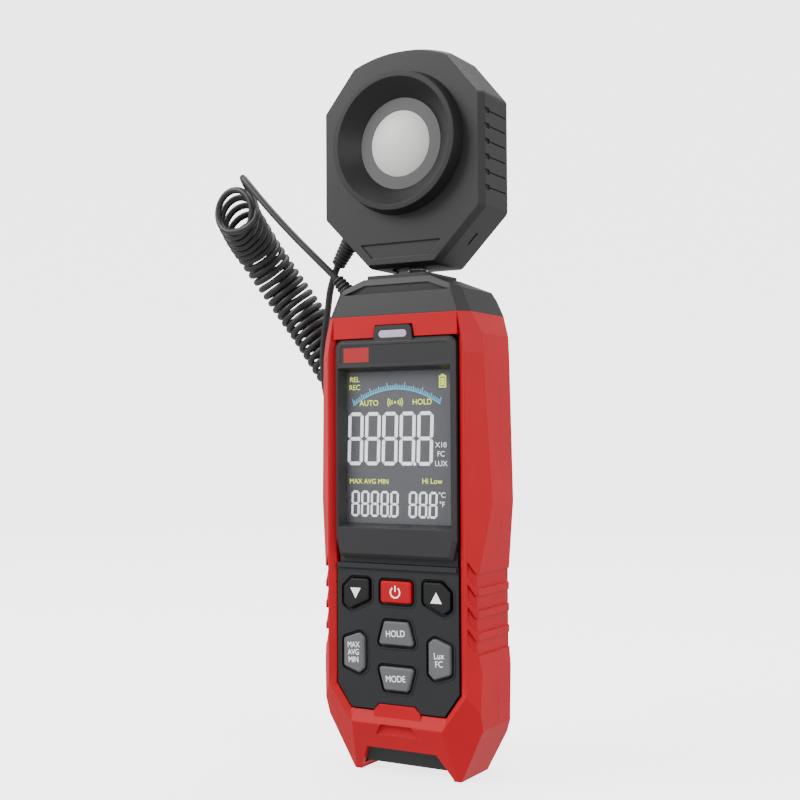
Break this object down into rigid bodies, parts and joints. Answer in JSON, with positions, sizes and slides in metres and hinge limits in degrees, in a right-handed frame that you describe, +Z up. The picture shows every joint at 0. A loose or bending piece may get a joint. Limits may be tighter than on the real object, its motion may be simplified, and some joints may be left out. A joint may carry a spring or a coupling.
{
  "type": "handheld light meter",
  "caption": "Handheld digital light meter with screen, keypad, hooded sensor head docked on a swivel above the case, and a curly cord joining the head to the case.",
  "frame": {"origin": "on the floor under the middle of the case, the meter standing on its feet", "axes": "+Z up along the case, -Y towards the user who reads the screen, +X to that user's right"},
  "size_m": [0.1214, 0.0606, 0.245],
  "materials": {
    "red_shell": "satin red moulded plastic",
    "black_shell": "fine matt texture, near black",
    "keypad": "matt dark grey",
    "dark_key": "matt black",
    "grey_key": "satin grey",
    "red_key": "satin red",
    "name_plate": "plain red, blank",
    "indicator": "pale translucent",
    "window": "clear window",
    "screen": "grey display film",
    "rubber": "satin black jacket",
    "board": "green solder mask",
    "electronics": "black moulded parts",
    "inner_plastic": "black",
    "bright_metal": "plated spring steel",
    "dark_metal": "blackened steel",
    "cell_jacket": "printed metal jacket, blank",
    "grey_ring": "satin grey",
    "diffuser": "milky white",
    "filter_glass": "green-blue colour filter"
  },
  "bodies": {
    "case": {"front_case": "red_shell", "rear_case": "red_shell", "base_plug": "black_shell", "display_bezel": "black_shell", "label_plate": "name_plate", "indicator_lens": "indicator", "indicator_led": "electronics", "lcd_window": "window", "lcd_panel": "screen", "lcd_connectors": "rubber", "keypad_panel": "keypad", "dome_switches": "bright_metal", "main_pcb": "board", "board_components": "electronics", "buzzer": "electronics", "battery_tray": "inner_plastic", "battery_cell_1": "cell_jacket", "battery_cell_2": "cell_jacket", "battery_cell_3": "cell_jacket", "battery_contacts": "bright_metal", "battery_springs": "bright_metal", "case_screws": "dark_metal", "top_cap_front": "black_shell", "top_cap_rear": "black_shell", "dock_socket": "inner_plastic", "swivel_stop": "dark_metal", "body_gland": "rubber", "cord_run": "rubber", "cord_coil": "rubber", "cord_tail": "rubber"},
    "dock": {"dock_plug": "dark_metal", "swivel_washer": "bright_metal", "retaining_clip": "dark_metal"},
    "head": {"head_front_shell": "black_shell", "head_rear_shell": "black_shell", "head_screws": "dark_metal", "sensor_hood": "black_shell", "dome_seat": "grey_ring", "diffuser_dome": "diffuser", "sensor_carrier": "inner_plastic", "optical_filter": "filter_glass", "photodiode": "electronics", "sensor_pcb": "board", "head_gland": "rubber"},
    "battery_cover": {"battery_door": "red_shell", "battery_door_screw": "dark_metal"},
    "button_down": {"button_down": "dark_key"},
    "button_power": {"button_power": "red_key"},
    "button_up": {"button_up": "dark_key"},
    "button_hold": {"button_hold": "grey_key"},
    "button_range": {"button_range": "grey_key"},
    "button_unit": {"button_unit": "grey_key"},
    "button_mode": {"button_mode": "grey_key"}
  },
  "joints": [
    {"name": "down_press", "type": "slide", "parent": "case", "child": "button_down", "axis": [0, 1, 0], "range_m": [0, 0.0006], "stiffness_N_per_m": 900, "springref_m": -0.0006},
    {"name": "power_press", "type": "slide", "parent": "case", "child": "button_power", "axis": [0, 1, 0], "range_m": [0, 0.0006], "stiffness_N_per_m": 900, "springref_m": -0.0006},
    {"name": "up_press", "type": "slide", "parent": "case", "child": "button_up", "axis": [0, 1, 0], "range_m": [0, 0.0006], "stiffness_N_per_m": 900, "springref_m": -0.0006},
    {"name": "hold_press", "type": "slide", "parent": "case", "child": "button_hold", "axis": [0, 1, 0], "range_m": [0, 0.0006], "stiffness_N_per_m": 900, "springref_m": -0.0006},
    {"name": "range_press", "type": "slide", "parent": "case", "child": "button_range", "axis": [0, 1, 0], "range_m": [0, 0.0006], "stiffness_N_per_m": 900, "springref_m": -0.0006},
    {"name": "unit_press", "type": "slide", "parent": "case", "child": "button_unit", "axis": [0, 1, 0], "range_m": [0, 0.0006], "stiffness_N_per_m": 900, "springref_m": -0.0006},
    {"name": "mode_press", "type": "slide", "parent": "case", "child": "button_mode", "axis": [0, 1, 0], "range_m": [0, 0.0006], "stiffness_N_per_m": 900, "springref_m": -0.0006},
    {"name": "battery_door_lift", "type": "slide", "parent": "case", "child": "battery_cover", "axis": [0, 1, 0], "range_m": [0, 0.015]},
    {"name": "dock_lift", "type": "slide", "parent": "case", "child": "dock", "axis": [0, 0, 1], "range_m": [0, 0.014], "deforming": ["cord_tail"]},
    {"name": "head_swivel", "type": "hinge", "parent": "dock", "child": "head", "pos_m": [0, 0.002, 0.1709], "axis": [0, 0, 1], "range_deg": [-90, 0], "deforming": ["cord_tail"]}
  ]
}
